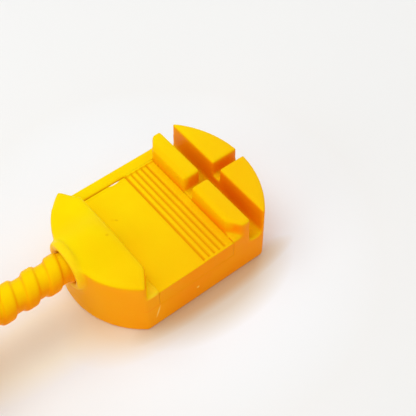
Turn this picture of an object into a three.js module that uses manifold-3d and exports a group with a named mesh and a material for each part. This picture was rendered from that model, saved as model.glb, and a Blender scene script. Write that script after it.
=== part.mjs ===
// Watch link remover: a moulded frame with a strap seat, two blocks and a strap slot in front,
// and a coarse screw at the rear that drives a thin steel pin along the seat towards the blocks.
// Millimetres. X runs forward along the screw, Y to the far side, Z up.
// The origin is the centre of the base, on the underside, midway along the straight sides.
import * as THREE from 'three';
import { mergeVertices } from 'three/addons/utils/BufferGeometryUtils.js';
import Module from 'manifold-3d';

const wasm = await Module();
wasm.setup();

// Driving dimensions of the frame
const bodyWidth = 40;
const sideLength = 39;
const rearBulge = 10.5;
const frontBulge = 8;
const railHeight = 15.4;
const headHeight = 20.4;
const crownHeight = 22.9;
const crownHalfWidth = 11;
const crownBrowLength = 4.7;
const seatDrop = 0.5;
const seatLength = 24.5;
const farRimWidth = 3.6;

// Housing over the screw
const housingForward = 4;
const housingFrontWidth = 28;
const housingFrontEdge = 1.2;
const housingFrontWall = 3.1;
const collarRadius = 7.1;
const collarOut = 1;
const collarLength = 2;

// Blocks, strap slot and front wall
const blockDepth = 5.65;
const blockCornerLength = 3;
const blockCornerWidth = 4.2;
const blockNotchWidth = 3.2;
const slotWidth = 4.3;
const slotDepth = 9.8;
const slotFloorRadius = 1.7;
const frontNotchWidth = 2.8;
const topEdge = 0.5;
const rimEdge = 0.35;

// Wall thicknesses and the hollow underside
const sideWall = 2.4;
const crossWall = 2;
const crossWallPitch = 9.4;
const pocketHeight = 7;

// Slide cover, which is also the strap seat, and the pin store under it
const coverThickness = 2.4;
const seatPanelDrop = 0.2;
const seatPanelCorner = 1.5;
const railLegThickness = 1.2;
const railToeReach = 0.9;
const railToeThickness = 1.1;
const coverLipThickness = 1.8;
const coverLipDepth = 5.6;
const grooveCount = 5;
const groovePitch = 1.73;
const grooveRadius = 0.45;
const grooveDepth = 0.5;
const grooveFromBlock = 2.4;
const grooveEndLand = 0.6;
const storeLength = 18.5;
const storeDepth = 3.1;
const storeFarWall = 3.2;

// Screw thread
const threadRadius = 4.75;
const threadRootRadius = 3.95;
const threadPitch = 6.65;
const threadLength = 31.2;
const nutLength = 9;
const spindleEngaged = 4.6;
const threadSteps = 32;
const threadEndBevel = 0.6;
const pinLift = 2.3;

// Knob and its fastening
const knobRadius = 10.5;
const knobLength = 15.5;
const knobNeckRadius = 6.4;
const knobNeckLength = 2.4;
const knobEdge = 1.2;
const fluteCount = 14;
const fluteRadius = 1.5;
const fluteDepth = 0.8;
const shankWidth = 5.2;
const shankLength = 9.5;
const knobScrewRadius = 0.9;
const knobScrewLength = 9;
const knobScrewHeadRadius = 2.3;
const knobScrewHeadLength = 1.5;
const screwSlotWidth = 0.6;
const screwSlotDepth = 0.6;
const capRadius = 5.2;
const capThickness = 1.4;
const capEdge = 0.4;

// Push head: pin holder and steel pin
const holderRadius = 1.7;
const holderFlangeRadius = 2.3;
const holderFlangeLength = 1.2;
const holderTailLength = 3.6;
const holderNoseLength = 6.2;
const holderNoseBevel = 0.5;
const pinShankRadius = 0.75;
const pinShankLength = 4.6;
const pinTipRadius = 0.45;
const pinTipLength = 4.6;
const pinTaper = 0.5;
const sparePinCount = 3;
const sparePinPitch = 4.6;

// Clearances and one overrun for every cut
const slideGap = 0.15;
const pinGap = 0.15;
const runGap = 0.3;
const overrun = 2;
const arcSteps = 28;
const roundSteps = 32;
const smallSteps = 16;
const crownSteps = 20;
const browSteps = 6;

// Places worked out from the sizes
const halfWidth = bodyWidth / 2;
const halfSide = sideLength / 2;
const coverTop = railHeight - seatDrop;
const coverUnder = coverTop - coverThickness;
const screwHeight = coverTop + pinLift;
const housingFront = housingForward - halfSide;
const blockRear = housingFront + seatLength;
const slotRear = blockRear + blockDepth;
const slotFront = slotRear + slotWidth;
const slotFloor = headHeight - slotDepth;
const rearTip = -halfSide - rearBulge;
const frontTip = halfSide + frontBulge;
const collarRear = rearTip - collarOut;
const recessFar = halfWidth - farRimWidth;
const storeFloor = coverUnder - slideGap - storeDepth;
const storeCentre = (housingFront + blockRear) / 2;
const storeRear = storeCentre - storeLength / 2;
const storeFront = storeCentre + storeLength / 2;
const storeFar = recessFar - storeFarWall;
const storeMiddle = (storeFar - halfWidth) / 2;
const spindleFront = collarRear + spindleEngaged;
const threadRear = spindleFront - threadLength;
const knobFront = threadRear - runGap;
const knobRear = knobFront - knobLength;
const shankRear = threadRear - shankLength;

// Colours, roughness and metalness
const yellowPlastic = { color: 0xf6b90a, roughness: 0.42, metalness: 0 };
const coverPlastic = { color: 0xf4b40c, roughness: 0.45, metalness: 0 };
const screwPlastic = { color: 0xf7bd10, roughness: 0.38, metalness: 0 };
const brass = { color: 0xb9924a, roughness: 0.34, metalness: 1 };
const steel = { color: 0xb8babd, roughness: 0.26, metalness: 1 };

// Solids from three.js geometry, and back
function solidOf(geometry) {
  const bare = geometry.clone();
  bare.deleteAttribute('normal');
  bare.deleteAttribute('uv');
  const merged = mergeVertices(bare);
  return new wasm.Manifold(new wasm.Mesh({
    numProp: 3,
    vertProperties: new Float32Array(merged.attributes.position.array),
    triVerts: new Uint32Array(merged.index.array),
  }));
}

function geometryOf(solid) {
  const mesh = solid.getMesh();
  const geometry = new THREE.BufferGeometry();
  geometry.setAttribute('position', new THREE.BufferAttribute(new Float32Array(mesh.vertProperties), 3));
  geometry.setIndex(new THREE.BufferAttribute(new Uint32Array(mesh.triVerts), 1));
  geometry.computeVertexNormals();
  return geometry;
}

function moved(solid, x, y, z) {
  return solidOf(geometryOf(solid).translate(x, y, z));
}

function cutAll(solid, cuts) {
  return cuts.reduce((left, cut) => left.subtract(cut), solid);
}

function joinAll(solids) {
  return solids.reduce((whole, piece) => whole.add(piece));
}

// A block between two corners
function blockBetween(low, high) {
  const size = high.map((value, axis) => value - low[axis]);
  const geometry = new THREE.BoxGeometry(size[0], size[1], size[2]);
  geometry.translate(low[0] + size[0] / 2, low[1] + size[1] / 2, low[2] + size[2] / 2);
  return solidOf(geometry);
}

// A plan outline raised from one height to another, with a rounded edge inside its own outline
function raised(shape, low, high, edge = 0) {
  const geometry = new THREE.ExtrudeGeometry(shape, {
    depth: high - low - edge - edge,
    curveSegments: arcSteps,
    bevelEnabled: edge > 0,
    bevelThickness: edge,
    bevelSize: edge,
    bevelOffset: -edge,
    bevelSegments: 2,
  });
  geometry.translate(0, 0, low + edge);
  return solidOf(geometry);
}

// A Y-Z section drawn along X
function alongX(shape, rear, front) {
  const geometry = new THREE.ExtrudeGeometry(shape, {
    depth: front - rear, curveSegments: arcSteps, bevelEnabled: false,
  });
  geometry.applyMatrix4(new THREE.Matrix4().makeBasis(
    new THREE.Vector3(0, 1, 0), new THREE.Vector3(0, 0, 1), new THREE.Vector3(1, 0, 0)));
  geometry.translate(rear, 0, 0);
  return solidOf(geometry);
}

// An X-Z section drawn along Y
function alongY(shape, near, far, steps = arcSteps) {
  const geometry = new THREE.ExtrudeGeometry(shape, {
    depth: far - near, curveSegments: steps, bevelEnabled: false,
  });
  geometry.applyMatrix4(new THREE.Matrix4().makeBasis(
    new THREE.Vector3(1, 0, 0), new THREE.Vector3(0, 0, 1), new THREE.Vector3(0, -1, 0)));
  geometry.translate(0, far, 0);
  return solidOf(geometry);
}

// A profile of [x, radius] places turned about the X axis
function turned(profile, steps = roundSteps) {
  const points = profile.map(([x, radius]) => new THREE.Vector2(radius, x));
  const geometry = new THREE.LatheGeometry(points, steps);
  geometry.rotateZ(-Math.PI / 2);
  const solid = solidOf(geometry);
  return solid;
}

function rod(rear, front, radius, steps = roundSteps) {
  return turned([[rear, 0], [rear, radius], [front, radius], [front, 0]], steps);
}

function polygon(points) {
  return new THREE.Shape(points.map(([x, y]) => new THREE.Vector2(x, y)));
}

// Radius of the arc that rises by a bulge over half a chord
function arcRadius(halfChord, bulge) {
  return (halfChord * halfChord + bulge * bulge) / (bulge + bulge);
}

// Plan of the frame, drawn in by an inset all round
function addRearArc(shape, inset) {
  const radius = arcRadius(halfWidth, rearBulge);
  const centre = rearTip + radius;
  const inner = radius - inset;
  const side = halfWidth - inset;
  const angle = Math.PI - Math.asin(side / inner);
  shape.absarc(centre, 0, inner, angle, Math.PI + Math.PI - angle, false);
}

function addFrontArc(shape, inset) {
  const radius = arcRadius(halfWidth, frontBulge);
  const centre = frontTip - radius;
  const inner = radius - inset;
  const angle = Math.asin((halfWidth - inset) / inner);
  shape.absarc(centre, 0, inner, -angle, angle, false);
}

function bodyPlan(inset = 0) {
  const shape = new THREE.Shape();
  addFrontArc(shape, inset);
  addRearArc(shape, inset);
  shape.closePath();
  return shape;
}

function housingPlan() {
  const half = housingFrontWidth / 2;
  const shape = new THREE.Shape();
  shape.moveTo(housingFront, -half);
  shape.lineTo(housingFront, half);
  addRearArc(shape, 0);
  shape.closePath();
  return shape;
}

function headPlan() {
  const shape = new THREE.Shape();
  shape.moveTo(blockRear, blockCornerWidth - halfWidth);
  shape.lineTo(blockRear + blockCornerLength, -halfWidth);
  addFrontArc(shape, 0);
  shape.lineTo(blockRear + blockCornerLength, halfWidth);
  shape.lineTo(blockRear, halfWidth - blockCornerWidth);
  shape.closePath();
  return shape;
}

// Top of the housing: flat, with a low crown over the screw that fades out towards the front edge
function housingTop(x, y) {
  const share = (length) => Math.min(1, Math.max(0, (x - housingFront) / length + 1));
  const across = Math.min(1, Math.abs(y) / crownHalfWidth);
  const fade = share(crownBrowLength);
  const edge = share(housingFrontEdge);
  const rise = (crownHeight - headHeight) * Math.cos((across * Math.PI) / 2) ** 2;
  return headHeight + rise * Math.sqrt(1 - fade * fade) - housingFrontEdge * (1 - Math.sqrt(1 - edge * edge));
}

// Places from one end to the other, closer together towards the second end
function closingPlaces(first, last, steps) {
  return Array.from({ length: steps }, (_, step) =>
    first + (last - first) * Math.sin(((step + 1) / steps) * (Math.PI / 2)));
}

function crownSolid() {
  const browStart = housingFront - crownBrowLength;
  const edgeStart = housingFront - housingFrontEdge;
  const along = [
    rearTip - overrun, browStart,
    ...closingPlaces(browStart, edgeStart, browSteps), ...closingPlaces(edgeStart, housingFront, browSteps),
  ];
  const reach = halfWidth + overrun;
  const across = [-reach, ...Array.from({ length: crownSteps + 1 }, (_, step) =>
    crownHalfWidth * (step / crownSteps + step / crownSteps - 1)), reach];
  const rows = along.length;
  const columns = across.length;
  const places = [];
  along.forEach((x) => across.forEach((y) => places.push(x, y, 0)));
  along.forEach((x) => across.forEach((y) => places.push(x, y, housingTop(x, y))));
  const low = (i, j) => i * columns + j;
  const high = (i, j) => (rows + i) * columns + j;
  const faces = [];
  const face = (a, b, c, d) => faces.push(a, b, c, a, c, d);
  for (let i = 0; i + 1 < rows; i++) {
    for (let j = 0; j + 1 < columns; j++) {
      face(high(i, j), high(i + 1, j), high(i + 1, j + 1), high(i, j + 1));
      face(low(i, j), low(i, j + 1), low(i + 1, j + 1), low(i + 1, j));
    }
    face(low(i, 0), low(i + 1, 0), high(i + 1, 0), high(i, 0));
    face(low(i, columns - 1), high(i, columns - 1), high(i + 1, columns - 1), low(i + 1, columns - 1));
  }
  for (let j = 0; j + 1 < columns; j++) {
    face(low(0, j), high(0, j), high(0, j + 1), low(0, j + 1));
    face(low(rows - 1, j), low(rows - 1, j + 1), high(rows - 1, j + 1), high(rows - 1, j));
  }
  const geometry = new THREE.BufferGeometry();
  geometry.setAttribute('position', new THREE.Float32BufferAttribute(places, 3));
  geometry.setIndex(faces);
  return solidOf(geometry);
}

// The screw thread: one pitch of its section, wound along X as a left-hand thread
// Each row is a place and a height, as shares of the pitch and of the thread depth, and the flank's way
const threadShares = [
  [0, 0, -1], [0.07, 0.8, -1], [0.14, 1, -1], [0.48, 1, 1], [0.55, 0.8, 1], [0.62, 0, 1],
];
const restTurnShare = 0.19;

function threadGeometry(section, start, turns) {
  const rows = section.length;
  const last = threadSteps * turns;
  const places = [];
  const index = new Map();
  const add = (row, step) => {
    const turn = (step / threadSteps) * Math.PI * 2;
    index.set(`${row},${step}`, places.length / 3);
    places.push(
      start + section[row].x + (step / threadSteps) * threadPitch,
      section[row].radius * Math.cos(turn),
      -section[row].radius * Math.sin(turn));
  };
  for (let step = 0; step <= last + threadSteps; step++) add(0, step);
  for (let row = 1; row < rows; row++) {
    for (let step = 0; step <= last; step++) add(row, step);
  }
  const at = (row, step) => index.get(row === rows ? `0,${step + threadSteps}` : `${row},${step}`);
  const faces = [];
  for (let row = 0; row < rows; row++) {
    for (let step = 0; step < last; step++) {
      faces.push(at(row, step), at(row + 1, step), at(row, step + 1));
      faces.push(at(row + 1, step), at(row + 1, step + 1), at(row, step + 1));
    }
  }
  const endLoop = (first) => {
    const loop = [];
    for (let step = 0; step <= threadSteps; step++) loop.push(at(0, first + step));
    for (let row = rows - 1; row > 0; row--) loop.push(at(row, first));
    return loop;
  };
  const rearPoint = places.length / 3;
  const frontPoint = rearPoint + 1;
  places.push(start, 0, 0, start + (turns + 1) * threadPitch, 0, 0);
  endLoop(0).forEach((point, i, loop) => faces.push(rearPoint, point, loop[(i + 1) % loop.length]));
  endLoop(last).forEach((point, i, loop) => faces.push(frontPoint, loop[(i + 1) % loop.length], point));
  const geometry = new THREE.BufferGeometry();
  geometry.setAttribute('position', new THREE.Float32BufferAttribute(places, 3));
  geometry.setIndex(faces);
  return geometry;
}

// A length of thread, grown by a clearance where it is the bore; both share one winding
function threadSolid(rear, front, grow = 0) {
  const depth = threadRadius - threadRootRadius;
  const section = threadShares.map(([place, height, way]) => ({
    x: place * threadPitch + way * grow,
    radius: threadRootRadius + height * depth + grow,
  }));
  const turnsBefore = Math.ceil((spindleFront - rear) / threadPitch) + 2;
  const turnsAfter = Math.max(0, Math.ceil((front - spindleFront) / threadPitch)) + 1;
  const start = spindleFront - (turnsBefore + restTurnShare) * threadPitch;
  const outer = threadRadius + grow + grow;
  const inner = grow > 0 ? outer : threadRootRadius;
  const blank = turned([
    [rear, 0], [rear, inner], [rear + threadEndBevel, outer],
    [front - threadEndBevel, outer], [front, inner], [front, 0],
  ]);
  return solidOf(threadGeometry(section, start, turnsBefore + turnsAfter)).intersect(blank);
}

// Seat for the slide cover: the open pocket and the room for the lip at its near end
function coverSpace() {
  return blockBetween(
    [housingFront, -halfWidth - overrun, coverUnder - slideGap],
    [blockRear, recessFar, headHeight + overrun],
  ).add(blockBetween(
    [housingFront, -halfWidth - overrun, coverTop - coverLipDepth - slideGap],
    [blockRear, -halfWidth + coverLipThickness + slideGap, headHeight]));
}

// Store under the cover, with a groove along the foot of both long walls for the cover's rails
function storeSpace() {
  return blockBetween(
    [storeRear, -halfWidth - overrun, storeFloor],
    [storeFront, storeFar, coverUnder],
  ).add(blockBetween(
    [storeRear - railToeReach, -halfWidth - overrun, storeFloor],
    [storeFront + railToeReach, storeFar, storeFloor + railToeThickness + slideGap + slideGap]));
}

function sparePinX(number) {
  return storeCentre + (number - (sparePinCount - 1) / 2) * sparePinPitch;
}

const sparePinHeight = storeFloor + pinShankRadius - pinGap;

function storeTrough(number) {
  const geometry = new THREE.CylinderGeometry(
    pinShankRadius + pinGap, pinShankRadius + pinGap, pinShankLength + pinTipLength + runGap + runGap, smallSteps);
  geometry.translate(sparePinX(number), storeMiddle, sparePinHeight);
  return solidOf(geometry);
}

function slotSpace() {
  const shape = new THREE.Shape();
  const radius = slotFloorRadius;
  shape.moveTo(slotRear, headHeight + overrun);
  shape.lineTo(slotRear, slotFloor + radius);
  shape.absarc(slotRear + radius, slotFloor + radius, radius, Math.PI, Math.PI * 1.5, false);
  shape.absarc(slotFront - radius, slotFloor + radius, radius, Math.PI * 1.5, Math.PI * 2, false);
  shape.lineTo(slotFront, headHeight + overrun);
  shape.closePath();
  return alongY(shape, -halfWidth - overrun, halfWidth + overrun, smallSteps / 4);
}

function notchSpaces() {
  return [
    blockBetween(
      [blockRear - overrun, -blockNotchWidth / 2, coverTop],
      [slotRear + overrun, blockNotchWidth / 2, headHeight + overrun]),
    blockBetween(
      [slotFront - overrun, -frontNotchWidth / 2, coverTop],
      [frontTip + overrun, frontNotchWidth / 2, headHeight + overrun]),
  ];
}

// Hollow underside: a row of pockets between the outer wall and the cross walls
function pocketSpaces() {
  const hollow = raised(bodyPlan(sideWall), -overrun, pocketHeight);
  const wallsEachWay = Math.floor(halfSide / crossWallPitch);
  const walls = Array.from({ length: wallsEachWay * 2 + 1 }, (_, number) => {
    const x = (number - wallsEachWay) * crossWallPitch;
    return blockBetween(
      [x - crossWall / 2, -halfWidth - overrun, -overrun - overrun],
      [x + crossWall / 2, halfWidth + overrun, pocketHeight + overrun]);
  });
  return [cutAll(hollow, walls)];
}

// Threaded bore, plain chamber in front of it and the small hole for the push head
function screwSpaces() {
  const lift = (solid) => moved(solid, 0, 0, screwHeight);
  const nutFront = collarRear + nutLength;
  const chamberFront = housingFront - housingFrontWall;
  return [
    lift(threadSolid(collarRear - threadPitch, nutFront + runGap, runGap)),
    lift(rod(nutFront, chamberFront, threadRadius + runGap)),
    lift(rod(chamberFront - runGap, housingFront + overrun, holderRadius + runGap)),
    lift(turned([
      [collarRear - overrun, 0], [collarRear - overrun, threadRadius + runGap + threadEndBevel + overrun],
      [collarRear, threadRadius + runGap + threadEndBevel], [collarRear + threadEndBevel, threadRadius + runGap],
      [collarRear + threadEndBevel, 0],
    ])),
  ];
}

function frameSolid() {
  const base = raised(bodyPlan(), 0, railHeight, rimEdge);
  const housing = raised(housingPlan(), railHeight - overrun, crownHeight + overrun).intersect(crownSolid());
  const head = raised(headPlan(), railHeight - overrun, headHeight, topEdge);
  const collar = moved(turned([
    [collarRear, 0], [collarRear, collarRadius - topEdge], [collarRear + topEdge, collarRadius],
    [collarRear + collarLength, collarRadius], [collarRear + collarLength + topEdge, collarRadius - topEdge],
    [collarRear + collarLength + topEdge, 0],
  ]), 0, 0, screwHeight);
  const whole = joinAll([base, housing, head, collar]);
  const troughs = Array.from({ length: sparePinCount }, (_, number) => storeTrough(number));
  return cutAll(whole, [
    coverSpace(), storeSpace(), ...troughs, slotSpace(), ...notchSpaces(), ...pocketSpaces(), ...screwSpaces(),
  ]);
}

// Slide cover: ribbed strap seat with two rails below and a lip that closes the store
function seatPanel(rear, front) {
  const shape = new THREE.Shape();
  shape.moveTo(rear - overrun, -halfWidth - overrun);
  shape.lineTo(front, -halfWidth - overrun);
  shape.lineTo(front, recessFar - slideGap - grooveEndLand - seatPanelCorner);
  shape.absarc(
    front - seatPanelCorner, recessFar - slideGap - grooveEndLand - seatPanelCorner, seatPanelCorner,
    0, Math.PI / 2, false);
  shape.lineTo(rear - overrun, recessFar - slideGap - grooveEndLand);
  shape.closePath();
  return raised(shape, coverTop - seatPanelDrop, coverTop + overrun);
}

function seatGroove(number) {
  const near = -halfWidth + grooveEndLand;
  const far = recessFar - slideGap + overrun;
  const geometry = new THREE.CylinderGeometry(grooveRadius, grooveRadius, far - near, smallSteps);
  geometry.translate(
    blockRear - grooveFromBlock - number * groovePitch, (far + near) / 2, coverTop + grooveRadius - grooveDepth);
  return solidOf(geometry);
}

function coverRail(side) {
  const edge = side > 0 ? storeFront - slideGap : storeRear + slideGap;
  const leg = [edge, edge - side * railLegThickness].sort((low, high) => low - high);
  const toe = [edge - side * railLegThickness, edge + side * railToeReach].sort((low, high) => low - high);
  const near = -halfWidth + coverLipThickness / 2;
  const far = storeFar - runGap;
  const foot = storeFloor + slideGap;
  return blockBetween([leg[0], near, foot], [leg[1], far, coverUnder + slideGap])
    .add(blockBetween([toe[0], near, foot], [toe[1], far, foot + railToeThickness]));
}

function coverSolid() {
  const rear = housingFront + slideGap;
  const front = blockRear - slideGap;
  const plate = blockBetween([rear, -halfWidth, coverUnder], [front, recessFar - slideGap, coverTop]);
  const lip = blockBetween(
    [rear, -halfWidth, coverTop - coverLipDepth], [front, -halfWidth + coverLipThickness, coverTop]);
  const grooves = Array.from({ length: grooveCount }, (_, number) => seatGroove(number));
  const panelFront = blockRear - grooveFromBlock - (grooveCount - 1) * groovePitch;
  return cutAll(joinAll([plate, lip, coverRail(-1), coverRail(1)]), [seatPanel(rear, panelFront), ...grooves]);
}

// Spindle: coarse thread, square shank for the knob, and a socket for the push head
function spindleSolid() {
  const half = shankWidth / 2;
  const flangeRear = spindleFront - holderTailLength;
  const thread = threadSolid(threadRear, spindleFront);
  const shank = alongX(
    polygon([[-half, -half], [half, -half], [half, half], [-half, half]]), shankRear, threadRear + overrun);
  return cutAll(thread.add(shank), [
    rod(flangeRear, spindleFront + overrun, holderRadius + runGap, smallSteps),
    rod(flangeRear - runGap, flangeRear + holderFlangeLength + runGap, holderFlangeRadius + runGap, smallSteps),
    rod(shankRear - overrun, shankRear + knobScrewLength, knobScrewRadius + pinGap, smallSteps),
  ]);
}

function knobSolid() {
  const capSeat = knobRear + capThickness;
  const screwSeat = shankRear - slideGap - crossWall;
  const blank = turned([
    [knobFront, 0], [knobFront, knobNeckRadius], [knobFront - knobNeckLength, knobNeckRadius],
    [knobFront - knobNeckLength - knobEdge, knobRadius], [knobRear + knobEdge, knobRadius],
    [knobRear, knobRadius - knobEdge], [knobRear, 0],
  ].reverse(), fluteCount * 4);
  const flutes = Array.from({ length: fluteCount }, (_, number) => {
    const turn = (number / fluteCount) * Math.PI * 2;
    const reach = knobRadius + fluteRadius - fluteDepth;
    return moved(rod(knobRear - overrun, knobFront, fluteRadius, smallSteps),
      0, reach * Math.cos(turn), reach * Math.sin(turn));
  });
  const half = shankWidth / 2 + slideGap;
  return cutAll(blank, [
    ...flutes,
    alongX(polygon([[-half, -half], [half, -half], [half, half], [-half, half]]),
      shankRear - slideGap, knobFront + overrun),
    rod(screwSeat - overrun, shankRear, knobScrewRadius + pinGap, smallSteps),
    rod(capSeat - overrun, screwSeat, knobScrewHeadRadius + runGap, smallSteps),
    rod(knobRear - overrun, capSeat, capRadius + pinGap),
  ]);
}

function knobScrewSolid() {
  const seat = shankRear - slideGap - crossWall - slideGap;
  const head = seat - knobScrewHeadLength;
  const blank = turned([
    [head, 0], [head, knobScrewHeadRadius - screwSlotDepth], [head + screwSlotDepth, knobScrewHeadRadius],
    [seat, knobScrewHeadRadius], [seat, knobScrewRadius], [seat + knobScrewLength, knobScrewRadius],
    [seat + knobScrewLength + knobScrewRadius, 0],
  ], smallSteps);
  const half = screwSlotWidth / 2;
  const across = knobScrewHeadRadius + overrun;
  return cutAll(blank, [
    blockBetween([head - overrun, -across, -half], [head + screwSlotDepth, across, half]),
    blockBetween([head - overrun, -half, -across], [head + screwSlotDepth, half, across]),
  ]);
}

function knobCapSolid() {
  const front = knobRear + capThickness - pinGap;
  return turned([
    [knobRear, 0], [knobRear, capRadius - capEdge], [knobRear + capEdge, capRadius], [front, capRadius], [front, 0],
  ]);
}

// Pin holder: turned brass, its flange caught in the spindle so that it doesn't turn with it
function holderSolid() {
  const tail = spindleFront - holderTailLength;
  const nose = spindleFront + holderNoseLength;
  const blank = turned([
    [tail, 0], [tail, holderFlangeRadius], [tail + holderFlangeLength, holderFlangeRadius],
    [tail + holderFlangeLength, holderRadius], [nose - holderNoseBevel, holderRadius],
    [nose, holderRadius - holderNoseBevel], [nose, 0],
  ]);
  return blank.subtract(rod(nose - pinShankLength - pinGap, nose + overrun, pinShankRadius + pinGap, smallSteps));
}

// The stepped steel pin, its thick end at x = 0 and its tip forward
function pinSolid() {
  return turned([
    [0, 0], [0, pinShankRadius], [pinShankLength, pinShankRadius], [pinShankLength + pinTaper, pinTipRadius],
    [pinShankLength + pinTipLength, pinTipRadius], [pinShankLength + pinTipLength, 0],
  ], smallSteps);
}

function piece(name, solid, look) {
  const mesh = new THREE.Mesh(geometryOf(solid), new THREE.MeshStandardMaterial(look));
  mesh.name = name;
  return mesh;
}

const tool = new THREE.Group();
tool.add(piece('frame', frameSolid(), yellowPlastic));
tool.add(piece('slide_cover', coverSolid(), coverPlastic));

const screwLine = new THREE.Group();
screwLine.position.z = screwHeight;
screwLine.add(piece('spindle', spindleSolid(), screwPlastic));
screwLine.add(piece('knob', knobSolid(), screwPlastic));
screwLine.add(piece('knob_screw', knobScrewSolid(), steel));
screwLine.add(piece('knob_cap', knobCapSolid(), screwPlastic));
screwLine.add(piece('pin_holder', holderSolid(), brass));

const pushPin = piece('push_pin', pinSolid(), steel);
pushPin.position.x = spindleFront + holderNoseLength - pinShankLength;
screwLine.add(pushPin);
tool.add(screwLine);

for (let number = 0; number < sparePinCount; number++) {
  const spare = piece(`spare_pin_${number + 1}`, pinSolid(), steel);
  const length = pinShankLength + pinTipLength;
  spare.rotation.z = Math.PI / 2;
  spare.position.set(sparePinX(number), storeMiddle - length / 2, sparePinHeight);
  tool.add(spare);
}

export default tool;
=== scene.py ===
import bpy
import math
from mathutils import Matrix, Vector


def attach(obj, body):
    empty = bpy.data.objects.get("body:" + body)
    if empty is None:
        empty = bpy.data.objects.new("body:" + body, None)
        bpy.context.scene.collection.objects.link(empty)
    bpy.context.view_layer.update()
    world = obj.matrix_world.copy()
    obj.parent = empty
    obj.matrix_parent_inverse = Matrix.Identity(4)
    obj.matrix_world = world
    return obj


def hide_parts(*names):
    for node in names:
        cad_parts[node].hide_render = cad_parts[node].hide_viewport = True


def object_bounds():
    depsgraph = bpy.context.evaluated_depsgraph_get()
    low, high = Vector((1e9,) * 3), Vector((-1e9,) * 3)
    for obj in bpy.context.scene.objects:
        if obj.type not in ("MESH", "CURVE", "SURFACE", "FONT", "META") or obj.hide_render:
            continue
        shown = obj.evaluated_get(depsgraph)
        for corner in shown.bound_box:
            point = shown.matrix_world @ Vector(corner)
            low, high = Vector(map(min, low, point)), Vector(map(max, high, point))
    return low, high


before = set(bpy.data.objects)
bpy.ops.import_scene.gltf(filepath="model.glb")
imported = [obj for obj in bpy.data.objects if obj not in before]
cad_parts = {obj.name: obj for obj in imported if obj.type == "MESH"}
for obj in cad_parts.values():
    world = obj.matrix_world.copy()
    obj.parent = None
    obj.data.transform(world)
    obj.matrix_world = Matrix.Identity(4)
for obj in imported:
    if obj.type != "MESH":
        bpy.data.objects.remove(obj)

mm = 0.001
mergeDistance = 0.002  # mm, for the loose triangles of a copied node
smoothFactor = 0.5
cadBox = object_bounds()
print("frame loaded")


# small helpers

def deselectAll():
    if bpy.context.mode != "OBJECT":
        bpy.ops.object.mode_set(mode="OBJECT")
    bpy.ops.object.select_all(action="DESELECT")


def pick(obj):
    deselectAll()
    obj.select_set(True)
    bpy.context.view_layer.objects.active = obj


def copyNode(node, name):
    pick(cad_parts[node])
    bpy.ops.object.duplicate()
    piece = bpy.context.view_layer.objects.active
    piece.name = name
    piece.data.name = name
    piece.data.materials.clear()
    bpy.ops.object.mode_set(mode="EDIT")
    bpy.ops.mesh.select_all(action="SELECT")
    bpy.ops.mesh.remove_doubles(threshold=mergeDistance * mm)
    bpy.ops.object.mode_set(mode="OBJECT")
    return piece


def applyAll(piece):
    pick(piece)
    for modifier in list(piece.modifiers):
        bpy.ops.object.modifier_apply(modifier=modifier.name)


def placeAndApply():
    bpy.ops.object.transform_apply(location=True, rotation=True, scale=True)
    return bpy.context.view_layer.objects.active


def addBlock(low, high):
    deselectAll()
    middle = [(a + b) / 2 * mm for a, b in zip(low, high)]
    size = [(b - a) * mm for a, b in zip(low, high)]
    bpy.ops.mesh.primitive_cube_add(size=1, location=middle, scale=size)
    return placeAndApply()


# a rod across the part, from one y to another
def addRod(x, near, far, z, radius, sides):
    deselectAll()
    bpy.ops.mesh.primitive_cylinder_add(
        vertices=sides, radius=radius * mm, depth=(far - near) * mm,
        location=(x * mm, (near + far) / 2 * mm, z * mm), rotation=(math.pi / 2, 0, 0))
    return placeAndApply()


def combine(piece, others, operation):
    for other in others:
        boolean = piece.modifiers.new("with " + other.name, "BOOLEAN")
        boolean.operation = operation
        boolean.solver = "EXACT"
        boolean.object = other
        applyAll(piece)
        bpy.data.objects.remove(other)


def addSmooth(piece, name, passes):
    smooth = piece.modifiers.new(name, "SMOOTH")
    smooth.factor = smoothFactor
    smooth.iterations = passes
    return smooth


def softMould(piece, grid, passes):
    remesh = piece.modifiers.new("even grid", "REMESH")
    remesh.mode = "VOXEL"
    remesh.voxel_size = grid * mm
    remesh.use_smooth_shade = True
    addSmooth(piece, "moulded edges", passes)
    applyAll(piece)


# a second smoothing inside some boxes, for edges that are rounder than the rest
def softenPlaces(piece, boxes, passes):
    inside = []
    for vertex in piece.data.vertices:
        for low, high in boxes:
            if all(low[axis] * mm < vertex.co[axis] < high[axis] * mm for axis in range(3)):
                inside.append(vertex.index)
                break
    group = piece.vertex_groups.new(name="softer places")
    group.add(inside, 1.0, "REPLACE")
    addSmooth(piece, "softer places", passes).vertex_group = group.name
    applyAll(piece)
    piece.vertex_groups.clear()


def finishPiece(piece, look, node, body):
    piece.data.materials.clear()
    piece.data.materials.append(look)
    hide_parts(node)
    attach(piece, body)
    print("made", piece.name, len(piece.data.polygons), "faces")


# materials

def newMaterial(name):
    material = bpy.data.materials.new(name)
    material.use_nodes = True
    nodes = material.node_tree.nodes
    return material, nodes, material.node_tree.links, nodes["Principled BSDF"]


def addNoise(nodes, links, coords, scale, detail, rough=0.55):
    noise = nodes.new("ShaderNodeTexNoise")
    noise.inputs["Scale"].default_value = scale
    noise.inputs["Detail"].default_value = detail
    noise.inputs["Roughness"].default_value = rough
    links.new(coords, noise.inputs["Vector"])
    return noise.outputs["Fac"]


# most of a noise lies between 0.3 and 0.7
def mapped(nodes, links, value, low, high, fromLow=0.3, fromHigh=0.7):
    ranged = nodes.new("ShaderNodeMapRange")
    ranged.inputs["From Min"].default_value = fromLow
    ranged.inputs["From Max"].default_value = fromHigh
    ranged.inputs["To Min"].default_value = low
    ranged.inputs["To Max"].default_value = high
    links.new(value, ranged.inputs["Value"])
    return ranged.outputs["Result"]


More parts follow.
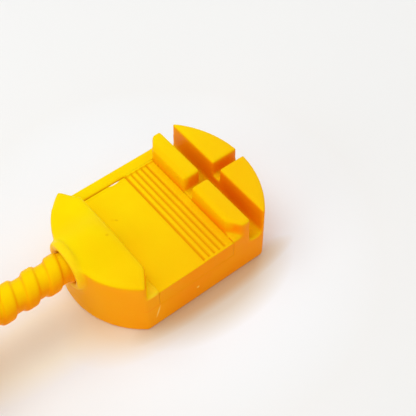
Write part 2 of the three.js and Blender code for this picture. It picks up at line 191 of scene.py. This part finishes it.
def mixColour(nodes, links, factor, first, second):
    mix = nodes.new("ShaderNodeMix")
    mix.data_type = "RGBA"
    links.new(factor, mix.inputs[0])
    for value, socket in ((first, mix.inputs[6]), (second, mix.inputs[7])):
        if isinstance(value, tuple):
            socket.default_value = value
        else:
            links.new(value, socket)
    return mix.outputs[2]


def multiplied(nodes, links, first, second):
    product = nodes.new("ShaderNodeMath")
    product.operation = "MULTIPLY"
    links.new(first, product.inputs[0])
    links.new(second, product.inputs[1])
    return product.outputs[0]


def addBump(nodes, links, shader, height, strength, distance):
    bump = nodes.new("ShaderNodeBump")
    bump.inputs["Strength"].default_value = strength
    bump.inputs["Distance"].default_value = distance * mm
    links.new(height, bump.inputs["Height"])
    links.new(bump.outputs["Normal"], shader.inputs["Normal"])


softMark = {
    "strength": 0.8,
    "core": 0.6,  # the share of its size that is at full strength
    "edge": 1.2,
}


# a mark on a surface, for specks and smudges and for painted light and shade: an ellipsoid round one place,
# in mm and degrees, with a soft edge
def markShare(nodes, links, coords, place, size, turn):
    stretch = nodes.new("ShaderNodeMapping")
    stretch.vector_type = "TEXTURE"
    stretch.inputs["Location"].default_value = [value * mm for value in place]
    stretch.inputs["Rotation"].default_value = [math.radians(angle) for angle in turn]
    stretch.inputs["Scale"].default_value = [value * mm for value in size]
    links.new(coords, stretch.inputs["Vector"])
    reach = nodes.new("ShaderNodeVectorMath")
    reach.operation = "LENGTH"
    links.new(stretch.outputs["Vector"], reach.inputs[0])
    return mapped(nodes, links, reach.outputs["Value"], softMark["strength"], 0.0,
                  softMark["core"], softMark["edge"])


def addMarks(nodes, links, coords, colour, marks):
    for place, size, turn, markColour in marks:
        share = markShare(nodes, links, coords, place, size, turn)
        colour = mixColour(nodes, links, share, colour, markColour)
    return colour


mouldedPlastic = {
    # painted shade: tops are painted lighter than sides by the normal's Z, and the near side darker than
    # the far side
    "farTop": (0.92, 0.70, 0.0012, 1.0),
    "nearTop": (0.90, 0.52, 0.0025, 1.0),
    "farSide": (0.92, 0.42, 0.001, 1.0),
    "nearSide": (0.94, 0.26, 0.001, 1.0),
    "nearWay": (0.55, -0.83, 0.0),  # the direction from the far colours to the near ones: painted shade, the near side darker
    "nearFrom": -20,  # mm along it
    "nearTo": 16,
    "upFrom": 0.0,  # the normal's Z: painted shade, the darker side colours below, the lit top colours above
    "upTo": 0.65,
    "deepColour": (0.90, 0.45, 0.001, 1.0),
    "deepShare": 0.22,
    "cloud": (90.0, 2.0),  # scale and detail
    "sheen": (260.0, 4.0),
    "grain": (2600.0, 2.0),
    "grainStrength": 0.12,
    "grainDepth": 0.02,
    "roughLow": 0.30,
    "roughHigh": 0.42,
    "ior": 1.5,
    "gloss": 0.035,
    "shineColour": (1.0, 0.72, 0.12, 1.0),
    "glow": 0.1,
    "glowColour": (1.0, 0.6, 0.02),
    "glowDepth": 1.6,
    "marks": [],  # specks and painted light and shade: place, size, turn and colour
}
# painted shade in the seat's grooves: colour, heights and reach of the darker foot
paintedGrooveShade = {
    "colour": (0.80, 0.33, 0.001, 1.0),
    "foot": 14.5,
    "top": 14.87,
    "rearFrom": -1.0,
    "rearTo": -0.5,
    "upFrom": 0.2,
    "upTo": 0.5,
}


# painted shade: the share of the darker colour at the foot of each groove on the ribbed part
def paintedGrooveShadeShare(nodes, links, coords, upward, feet):
    place = nodes.new("ShaderNodeSeparateXYZ")
    links.new(coords, place.inputs[0])
    depth = mapped(nodes, links, place.outputs["Z"], 1.0, 0.0, feet["foot"] * mm, feet["top"] * mm)
    ribbed = mapped(nodes, links, place.outputs["X"], 0.0, 1.0, feet["rearFrom"] * mm, feet["rearTo"] * mm)
    facingUp = mapped(nodes, links, upward, 0.0, 1.0, feet["upFrom"], feet["upTo"])
    return multiplied(nodes, links, multiplied(nodes, links, depth, ribbed), facingUp)


def plasticMaterial(name, look):
    material, nodes, links, shader = newMaterial(name)
    coords = nodes.new("ShaderNodeTexCoord").outputs["Object"]
    facing = nodes.new("ShaderNodeSeparateXYZ")
    links.new(nodes.new("ShaderNodeNewGeometry").outputs["Normal"], facing.inputs[0])
    upward = facing.outputs["Z"]
    # painted shade: the colour runs from the darker side colours to the lit top colours by the normal's Z,
    # and from far to near along nearWay
    upShare = mapped(nodes, links, upward, 0.0, 1.0, look["upFrom"], look["upTo"])
    towards = nodes.new("ShaderNodeVectorMath")
    towards.operation = "DOT_PRODUCT"
    towards.inputs[1].default_value = look["nearWay"]
    links.new(coords, towards.inputs[0])
    nearShare = mapped(nodes, links, towards.outputs["Value"], 0.0, 1.0,
                       look["nearFrom"] * mm, look["nearTo"] * mm)
    litTopColour = mixColour(nodes, links, nearShare, look["farTop"], look["nearTop"])
    shadedSideColour = mixColour(nodes, links, nearShare, look["farSide"], look["nearSide"])
    colour = mixColour(nodes, links, upShare, shadedSideColour, litTopColour)
    cloud = mapped(nodes, links, addNoise(nodes, links, coords, *look["cloud"]), 0.0, look["deepShare"])
    colour = mixColour(nodes, links, cloud, colour, look["deepColour"])
    if "grooves" in look:  # painted shade: a groove's foot is painted more orange than the seat, as shade in the groove
        share = paintedGrooveShadeShare(nodes, links, coords, upward, look["grooves"])
        colour = mixColour(nodes, links, share, colour, look["grooves"]["colour"])
    colour = addMarks(nodes, links, coords, colour, look["marks"])
    links.new(colour, shader.inputs["Base Color"])
    sheen = addNoise(nodes, links, coords, *look["sheen"])
    links.new(mapped(nodes, links, sheen, look["roughLow"], look["roughHigh"]), shader.inputs["Roughness"])
    grain = addNoise(nodes, links, coords, *look["grain"])
    addBump(nodes, links, shader, grain, look["grainStrength"], look["grainDepth"])
    shader.inputs["Subsurface Weight"].default_value = look["glow"]
    shader.inputs["Subsurface Radius"].default_value = look["glowColour"]
    shader.inputs["Subsurface Scale"].default_value = look["glowDepth"] * mm
    shader.inputs["IOR"].default_value = look["ior"]
    shader.inputs["Specular IOR Level"].default_value = look["gloss"]
    shader.inputs["Specular Tint"].default_value = look["shineColour"]
    return material


turnedMetal = {
    "scratches": (1.0, 4.0, 0.65),  # scale, detail and roughness of the noise
    "scratchStrength": 0.25,
    "scratchDepth": 0.01,
    "tarnish": (500.0, 3.0),
    "tarnishShare": 0.5,
    "tarnishLevel": 0.8,
}


def metalMaterial(name, look):
    material, nodes, links, shader = newMaterial(name)
    coords = nodes.new("ShaderNodeTexCoord").outputs["Object"]
    stretch = nodes.new("ShaderNodeMapping")
    stretch.inputs["Scale"].default_value = look["scratchWay"]
    links.new(coords, stretch.inputs["Vector"])
    lines = addNoise(nodes, links, stretch.outputs["Vector"], *look["scratches"])
    tarnish = addNoise(nodes, links, coords, *look["tarnish"])
    tarnishShare = mapped(nodes, links, tarnish, 0.0, look["tarnishShare"])
    darker = tuple(channel * look["tarnishLevel"] for channel in look["colour"][:3]) + (1.0,)
    links.new(mixColour(nodes, links, tarnishShare, look["colour"], darker), shader.inputs["Base Color"])
    links.new(mapped(nodes, links, lines, look["roughLow"], look["roughHigh"]), shader.inputs["Roughness"])
    addBump(nodes, links, shader, lines, look["scratchStrength"], look["scratchDepth"])
    shader.inputs["Metallic"].default_value = 1.0
    return material


paleSpotColour = (1.0, 0.64, 0.14, 1.0)
frameSpecksAndPaintedLight = [
    # a paler round spot and a paler slanted streak on the near wall
    ((-3.1, -20, 5.3), (0.45, 0.6, 0.45), (0, 0, 0), paleSpotColour),
    ((-16.2, -20, 6.2), (0.25, 0.6, 2.3), (0, 18, 0), paleSpotColour),
    ((-18.2, -1.9, 22.2), (0.5, 0.4, 1.6), (0, 0, 0), (0.82, 0.50, 0.001, 1.0)),  # speck on the housing
    ((-17.2, -18.7, 14.8), (2.2, 2.4, 0.8), (0, 0, 0), (1.0, 0.66, 0.02, 1.0)),  # painted light on the ledge beside the seat, lifting the housing's shadow
    ((-31, 0, 17.2), (3.2, 8.2, 8.2), (0, 0, 0), (1.0, 0.68, 0.015, 1.0)),  # painted light on the collar, lifting the shade in its bore
    ((9.4, 0, 20), (1.5, 26, 4), (0, 0, 0), (0.93, 0.54, 0.001, 1.0)),  # painted light on the rear faces of the blocks
    ((-3.2, -20, 9.2), (24, 0.9, 0.35), (0, 0, 0), (0.94, 0.27, 0.001, 1.0)),  # painted shade: the near wall's darker side colour laid over its joint line and ledge
]
seatSmudgesAndGlint = [
    ((-4.3, 16.1, 14.9), (1.5, 0.34, 0.5), (0, 0, 0), (1.0, 0.97, 0.9, 1.0)),  # glint on the far edge
    ((-10.9, 5.5, 14.7), (0.3, 0.55, 0.3), (0, 0, 40), (0.80, 0.50, 0.001, 1.0)),
    ((-11.7, 6.2, 14.7), (0.5, 0.6, 0.3), (0, 0, 40), (0.90, 0.60, 0.001, 1.0)),
]
framePlastic = plasticMaterial("framePlastic", {**mouldedPlastic, "marks": frameSpecksAndPaintedLight})
seatPlastic = plasticMaterial("seatPlastic", {
    **mouldedPlastic,
    # painted shade as on the frame, with the seat's own lit top colour
    "farTop": (0.95, 0.72, 0.0015, 1.0),
    "roughLow": 0.34,
    "roughHigh": 0.46,
    "grooves": paintedGrooveShade,
    "marks": seatSmudgesAndGlint,
})
# painted shade: on the screw and knob the darker side colour reaches further round, and their far sides are
# painted darker
screwLook = {
    **mouldedPlastic,
    "farTop": (0.93, 0.67, 0.001, 1.0),
    "upFrom": 0.25,
    "upTo": 1.05,
    "roughLow": 0.24,
    "roughHigh": 0.36,
}
screwPlastic = plasticMaterial("screwPlastic", {**screwLook, "farSide": (0.92, 0.30, 0.001, 1.0)})
knobPlastic = plasticMaterial("knobPlastic", {**screwLook, "farSide": (0.92, 0.38, 0.001, 1.0)})
pinSteel = metalMaterial("pinSteel", {
    **turnedMetal,
    "colour": (0.62, 0.63, 0.65, 1.0),
    "scratchWay": (300.0, 9000.0, 9000.0),  # the scratches run along the pin
    "roughLow": 0.18,
    "roughHigh": 0.34,
})
turnedBrass = metalMaterial("turnedBrass", {
    **turnedMetal,
    "colour": (0.72, 0.48, 0.17, 1.0),
    "scratchWay": (9000.0, 500.0, 500.0),  # the tool marks run round the holder
    "roughLow": 0.2,
    "roughHigh": 0.36,
})
print("materials made")


# moulded frame: its soft edges come from an even grid that is smoothed, and what has to
# stay sharp, the cover's room and the pin store, is filled before that and cut afterwards

mouldedFrame = {
    "grid": 0.38,
    "passes": 10,
    "nearFace": -20,
    "seatRear": -15.5,
    "seatFront": 9.0,
    "seatFloor": 12.35,
    "seatTop": 14.9,
    "lipInside": -17.95,
    "lipFloor": 9.185,
    "lipFillInside": -18.05,
    "lipFillMargin": 0.5,
    "storeRear": -12.5,
    "storeFront": 6.0,
    "storeFar": 13.2,
    "storeFloor": 9.25,
    "storeFillMargin": 1.2,
    "storeFillFar": 13.6,
    "storeFillFloor": 8.2,
    "railReach": 0.9,
    "railTop": 10.65,
    "troughMiddle": -3.4,
    "troughHalf": 4.9,
    "troughPitch": 4.6,
    "troughHeight": 9.85,
    "troughRadius": 0.9,
    "troughSides": 24,
    "rimTop": 15.4,
    "bandRear": -0.3,
    "bandEdge": 16.36,
    "bandFillNear": 14.9,
    "bandFillFar": 16.8,
    "bandCutNear": 13,
    "past": 1,  # how far a block goes past what it fills or cuts
    "cutNear": -24,
    "cutTop": 26,
    "softPasses": 12,
    "softPlaces": [
        ((8.7, -30, 15.8), (40, 30, 30)),  # blocks
        ((-40, -30, 15.8), (-15, 30, 30)),  # top of the housing
        ((-40, -9, 8), (-23.6, 9, 30)),  # collar
    ],
    "cornerPasses": 40,
    "cornerPlaces": [((-24, 15, 15.8), (-16, 30, 30))],  # far corner of the housing
}


def fillFrame(piece, values):
    rear, front, floor = values["seatRear"], values["seatFront"], values["seatFloor"]
    nearFace, past = values["nearFace"], values["past"]
    lipMargin, storeMargin = values["lipFillMargin"], values["storeFillMargin"]
    combine(piece, [
        addBlock((values["storeRear"] - storeMargin, nearFace, values["storeFillFloor"]),
                 (values["storeFront"] + storeMargin, values["storeFillFar"], floor)),
        addBlock((rear - lipMargin, nearFace, values["lipFloor"] - lipMargin),
                 (front + lipMargin, values["lipFillInside"], values["seatTop"])),
        addBlock((values["bandRear"], values["bandFillNear"], floor - past),
                 (front + lipMargin, values["bandFillFar"], values["rimTop"])),
    ], "UNION")


def makeFrameCutter(values):
    rear, front, floor = values["seatRear"], values["seatFront"], values["seatFloor"]
    storeRear, storeFront, storeFloor = values["storeRear"], values["storeFront"], values["storeFloor"]
    near, top, past, reach = values["cutNear"], values["cutTop"], values["past"], values["railReach"]
    cutter = addBlock((rear, near, values["lipFloor"]), (front, values["lipInside"], top))
    combine(cutter, [
        addBlock((storeRear, near + past, storeFloor), (storeFront, values["storeFar"], floor + past)),
        addBlock((values["bandRear"], values["bandCutNear"], floor), (front, values["bandEdge"], top)),
        addBlock((storeRear - reach, near + 2 * past, storeFloor),
                 (storeFront + reach, values["storeFar"], values["railTop"])),
    ], "UNION")
    middle = (storeRear + storeFront) / 2
    for step in (-1, 0, 1):
        trough = addRod(
            middle + step * values["troughPitch"],
            values["troughMiddle"] - values["troughHalf"], values["troughMiddle"] + values["troughHalf"],
            values["troughHeight"], values["troughRadius"], values["troughSides"])
        combine(cutter, [trough], "UNION")
    return cutter


def makeFrame(values):
    piece = copyNode("frame", "moulded_frame")
    fillFrame(piece, values)
    softMould(piece, values["grid"], values["passes"])
    softenPlaces(piece, values["softPlaces"], values["softPasses"])
    softenPlaces(piece, values["cornerPlaces"], values["cornerPasses"])
    combine(piece, [makeFrameCutter(values)], "DIFFERENCE")
    finishPiece(piece, framePlastic, "frame", "frame")


makeFrame(mouldedFrame)


# ribbed seat cover: made the same way on a finer grid, with the edges at its joints cut sharp

ribbedCover = {
    "grid": 0.19,
    "passes": 3,
    "nearFace": -20,
    "rear": -15.46,
    "front": 8.97,
    "rearFill": 0.5,
    "frontFill": 0.3,
    "lipInside": -18.2,
    "lipFloor": 9.2,
    "lipFill": 0.5,
    "top": 14.9,
    "panel": 14.7,
    "panelNear": -19,
    "panelDepth": 2,
    "panelFront": -0.32,
    "farEdge": 15.95,
    "farBand": 15.4,
    "farTight": 16.34,
    "bandRear": -0.26,
    "bandOverlap": 0.2,
    "grooves": 5,
    "groovePitch": 1.73,
    "grooveFront": 6.6,
    "grooveSize": 0.68,
    "grooveSides": 4,
    "grooveMiddle": 15.08,
    "grooveNear": -19.4,
    "grooveFar": 15.85,
    "past": 1,  # how far a block goes past what it fills or cuts
    "cutReach": 4,
    "cutNear": -24,
    "cutFar": 20,
    "cutFloor": 4,
    "cutTop": 20,
    "lipCut": 0.3,
}


def fillCover(piece, values):
    rear, front, top, panel = values["rear"], values["front"], values["top"], values["panel"]
    inside, foot, farEdge = values["lipInside"], values["lipFloor"], values["farEdge"]
    nearFace, past = values["nearFace"], values["past"]
    combine(piece, [
        addBlock((rear - past, nearFace, foot - past), (rear + values["rearFill"], inside, panel)),
        addBlock((front - values["frontFill"], nearFace, foot - past), (front + past, inside, top)),
        addBlock((rear - past, nearFace, foot - past), (front + past, inside, foot + values["lipFill"])),
        addBlock((rear - past, values["panelNear"], panel - values["panelDepth"]),
                 (rear + past, farEdge, panel)),
        addBlock((values["panelFront"], nearFace, panel - past), (front + past, farEdge, top)),
        addBlock((values["bandRear"], farEdge - values["bandOverlap"], panel - past),
                 (front + past, values["farTight"] + past, values["farBand"])),
    ], "UNION")


def cutGrooves(piece, values):
    for number in range(values["grooves"]):
        groove = addRod(
            values["grooveFront"] - number * values["groovePitch"],
            values["grooveNear"], values["grooveFar"],
            values["grooveMiddle"], values["grooveSize"], values["grooveSides"])
        combine(piece, [groove], "DIFFERENCE")


def trimCover(piece, values):
    rear, front, past = values["rear"], values["front"], values["past"]
    near, far, floor, top = values["cutNear"], values["cutFar"], values["cutFloor"], values["cutTop"]
    reach = values["cutReach"]
    combine(piece, [
        addBlock((rear - reach, near, floor), (rear, far, top)),
        addBlock((front, near, floor), (front + reach, far, top)),
        addBlock((rear - reach - past, values["farTight"], floor),
                 (front + reach + past, far + past, top + past)),
        addBlock((rear - reach - past, near - past, floor),
                 (front + reach + past, values["lipInside"] + values["lipCut"], values["lipFloor"])),
    ], "DIFFERENCE")


def makeCover(values):
    piece = copyNode("slide_cover", "ribbed_seat_cover")
    fillCover(piece, values)
    cutGrooves(piece, values)
    softMould(piece, values["grid"], values["passes"])
    trimCover(piece, values)
    finishPiece(piece, seatPlastic, "slide_cover", "slide_cover")


makeCover(ribbedCover)


# screw, knob and cap: made the same way, so the thread and the flutes lose their sharp edges

turnedPieces = {
    "coarse_screw": {"node": "spindle", "grid": 0.2, "passes": 18, "look": screwPlastic},
    "fluted_knob": {"node": "knob", "grid": 0.28, "passes": 5, "look": knobPlastic},
    "knob_end_cap": {"node": "knob_cap", "grid": 0.12, "passes": 4, "look": knobPlastic},
}

for name, values in turnedPieces.items():
    piece = copyNode(values["node"], name)
    softMould(piece, values["grid"], values["passes"])
    finishPiece(piece, values["look"], values["node"], "screw")


# the small metal pieces keep their own shapes

metalPieces = {
    "knob_screw": pinSteel,
    "pin_holder": turnedBrass,
    "push_pin": pinSteel,
    "spare_pin_1": pinSteel,
    "spare_pin_2": pinSteel,
    "spare_pin_3": pinSteel,
}

for node, look in metalPieces.items():
    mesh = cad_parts[node].data
    mesh.materials.clear()
    mesh.materials.append(look)
print("metal pieces finished")


# floor, light and camera

paleFloor = {
    "size": 3.0,
    "gap": 0.02,
    # painted light: the floor is painted paler and bluer near the part, from nearFrom to nearTo mm
    "farColour": (0.855, 0.855, 0.845, 1.0),
    "nearColour": (0.89, 0.925, 0.955, 1.0),
    "nearFrom": 34,
    "nearTo": 62,
    "patches": [  # painted shadow and painted warm bounce light from the plastic on the floor: place, size, turn, colour
        ((-42, -5, 0), (28, 11, 10), (0, 0, 0), (0.97, 0.95, 0.78, 1.0)),
        ((-18, -13, 0), (19, 12, 10), (0, 0, 0), (0.88, 0.77, 0.54, 1.0)),
        ((2, -20.5, 0), (22, 11.5, 10), (0, 0, 0), (0.71, 0.66, 0.52, 1.0)),
        ((2, -20.5, 0), (24, 4.2, 10), (0, 0, 0), (0.70, 0.52, 0.27, 1.0)),
    ],
    "dust": (40.0, 3.0),
    "dustShare": 0.03,
    "dustColour": (0.9, 0.9, 0.9, 1.0),
    "rough": 0.7,
    "gloss": 0.2,
}


def addFloor(values):
    deselectAll()
    height = cadBox[0][2] - values["gap"] * mm
    bpy.ops.mesh.primitive_plane_add(size=values["size"], location=(0, 0, height))
    floor = bpy.context.view_layer.objects.active
    floor.name = "paleFloor"
    material, nodes, links, shader = newMaterial("paleFloor")
    shader.inputs["Roughness"].default_value = values["rough"]
    shader.inputs["Specular IOR Level"].default_value = values["gloss"]
    coords = nodes.new("ShaderNodeTexCoord").outputs["Object"]
    reach = nodes.new("ShaderNodeVectorMath")
    reach.operation = "LENGTH"
    links.new(coords, reach.inputs[0])
    # painted light: paler, bluer floor near the part
    nearShare = mapped(nodes, links, reach.outputs["Value"], 1.0, 0.0,
                       values["nearFrom"] * mm, values["nearTo"] * mm)
    colour = mixColour(nodes, links, nearShare, values["farColour"], values["nearColour"])
    colour = addMarks(nodes, links, coords, colour, values["patches"])
    dust = mapped(nodes, links, addNoise(nodes, links, coords, *values["dust"]), 0.0, values["dustShare"])
    links.new(mixColour(nodes, links, dust, colour, values["dustColour"]), shader.inputs["Base Color"])
    floor.data.materials.append(material)


lamps = {
    "keyLamp": {"place": (-0.11, 0.15, 0.46), "size": 0.38, "power": 0.92, "colour": (1.0, 1.0, 1.0)},
    "fillLamp": {"place": (-0.10, -0.45, 0.20), "size": 0.4, "power": 0.5, "colour": (1.0, 0.94, 0.86)},
    "rearLamp": {"place": (-0.5, 0.02, 0.22), "size": 0.4, "power": 0.6, "colour": (1.0, 1.0, 1.0)},
    "frontLamp": {"place": (0.42, 0.12, 0.36), "size": 0.4, "power": 0.6, "colour": (1.0, 1.0, 1.0)},
}


def addLamp(name, values):
    data = bpy.data.lights.new(name, "AREA")
    data.shape = "SQUARE"
    data.size = values["size"]
    data.energy = values["power"]
    data.color = values["colour"]
    lamp = bpy.data.objects.new(name, data)
    bpy.context.scene.collection.objects.link(lamp)
    lamp.location = values["place"]
    lamp.rotation_euler = (-Vector(values["place"])).to_track_quat("-Z", "Y").to_euler()


softWorld = {
    "level": 0.545,
    "seenLevel": 1.0,
    "colour": (1.0, 1.0, 1.0, 1.0),
}


# the world lights the part at its own level, and looks white to the camera and in reflections
def addWorld(values):
    world = bpy.data.worlds.new("studio")
    bpy.context.scene.world = world
    world.use_nodes = True
    nodes, links = world.node_tree.nodes, world.node_tree.links
    background = nodes["Background"]
    rays = nodes.new("ShaderNodeLightPath")
    seen = nodes.new("ShaderNodeMath")
    seen.operation = "MAXIMUM"
    links.new(rays.outputs["Is Camera Ray"], seen.inputs[0])
    links.new(rays.outputs["Is Glossy Ray"], seen.inputs[1])
    strength = nodes.new("ShaderNodeMapRange")
    strength.inputs["To Min"].default_value = values["level"]
    strength.inputs["To Max"].default_value = values["seenLevel"]
    links.new(seen.outputs["Value"], strength.inputs["Value"])
    links.new(strength.outputs["Result"], background.inputs["Strength"])
    background.inputs["Color"].default_value = values["colour"]


photoView = {
    "azimuth": -38.24,
    "elevation": 52.74,
    "roll": -0.27,
    "place": (-82.30, -124.88, 212.70),
    "focalPixels": 917.37,
    "imagePixels": 416,
    "sensorWidth": 36.0,
    "nearLimit": 0.005,
}


def addCamera(values):
    data = bpy.data.cameras.new("photoCamera")
    data.sensor_fit = "HORIZONTAL"
    data.sensor_width = values["sensorWidth"]
    data.lens = values["focalPixels"] / values["imagePixels"] * values["sensorWidth"]
    data.clip_start = values["nearLimit"]
    camera = bpy.data.objects.new("photoCamera", data)
    bpy.context.scene.collection.objects.link(camera)
    turn = (Matrix.Rotation(math.radians(values["azimuth"]), 4, "Z")
            @ Matrix.Rotation(math.radians(90 - values["elevation"]), 4, "X")
            @ Matrix.Rotation(math.radians(values["roll"]), 4, "Z"))
    camera.rotation_euler = turn.to_euler()
    camera.location = Vector(values["place"]) * mm
    bpy.context.scene.camera = camera


addFloor(paleFloor)
addWorld(softWorld)
for name, values in lamps.items():
    addLamp(name, values)
addCamera(photoView)
bpy.context.scene.view_settings.view_transform = "Standard"
print("studio ready")
